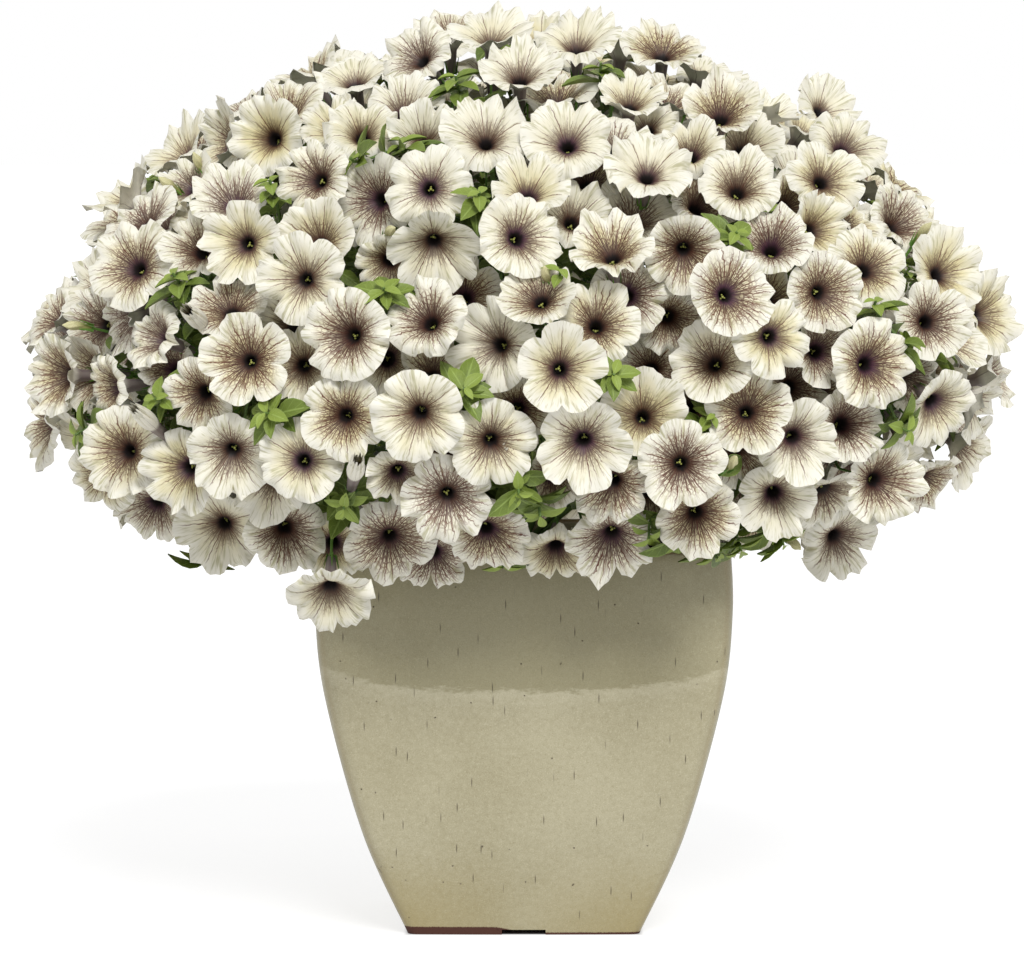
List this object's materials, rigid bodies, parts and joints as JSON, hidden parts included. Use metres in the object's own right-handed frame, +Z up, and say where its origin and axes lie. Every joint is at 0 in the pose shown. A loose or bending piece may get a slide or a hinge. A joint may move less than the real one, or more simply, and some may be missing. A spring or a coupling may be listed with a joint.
{
  "type": "potted petunia",
  "caption": "Mounding petunia in full bloom in a tall square glazed planter that tapers to its foot, for a balcony, terrace or doorstep.",
  "frame": {"origin": "middle of the planter's underside, on the surface it stands on", "axes": "+Z up, the front of the plant faces -Y, +X to the right seen from the front"},
  "size_m": [0.7515, 0.7176, 0.6963],
  "materials": {
    "glaze": "glossy sage-beige stoneware glaze with dark pinholes and streaks",
    "clay": "bare red-brown fired clay at the foot and underside",
    "soil": "moist dark potting mix, coarse and matt",
    "bark": "green-brown stem base, rough and matt",
    "foliage": "soft hairy green leaf and stem",
    "petal": "velvety cream-white petal with a dark throat and brown-purple veins",
    "bud": "furled yellow-green bud, soft and matt"
  },
  "bodies": {
    "root": {"planter_pot": "glaze", "potting_soil": "soil", "plant_crown": "bark", "shoot_01": "foliage", "shoot_02": "foliage", "shoot_03": "foliage", "shoot_04": "foliage", "shoot_05": "foliage", "shoot_06": "foliage", "shoot_07": "foliage", "shoot_08": "foliage", "shoot_09": "foliage", "shoot_10": "foliage", "shoot_11": "foliage", "shoot_12": "foliage", "shoot_13": "foliage", "flower_01": "petal", "flower_02": "petal", "flower_03": "petal", "flower_04": "petal", "flower_05": "petal", "flower_06": "petal", "flower_07": "petal", "flower_08": "petal", "flower_09": "petal", "flower_10": "petal", "flower_11": "petal", "flower_12": "petal", "flower_13": "petal", "flower_14": "petal", "flower_15": "petal", "flower_16": "petal", "flower_17": "petal", "flower_18": "petal", "flower_19": "petal", "flower_20": "petal", "flower_21": "petal", "flower_22": "petal", "flower_23": "petal", "flower_24": "petal", "flower_25": "petal", "flower_26": "petal", "flower_27": "petal", "flower_28": "petal", "flower_29": "petal", "flower_30": "petal", "flower_31": "petal", "flower_32": "petal", "flower_33": "petal", "flower_34": "petal", "flower_35": "petal", "flower_36": "petal", "flower_37": "petal", "flower_38": "petal", "flower_39": "petal", "bud_01": "bud", "bud_02": "bud", "bud_03": "bud", "bud_04": "bud"}
  },
  "joints": []
}
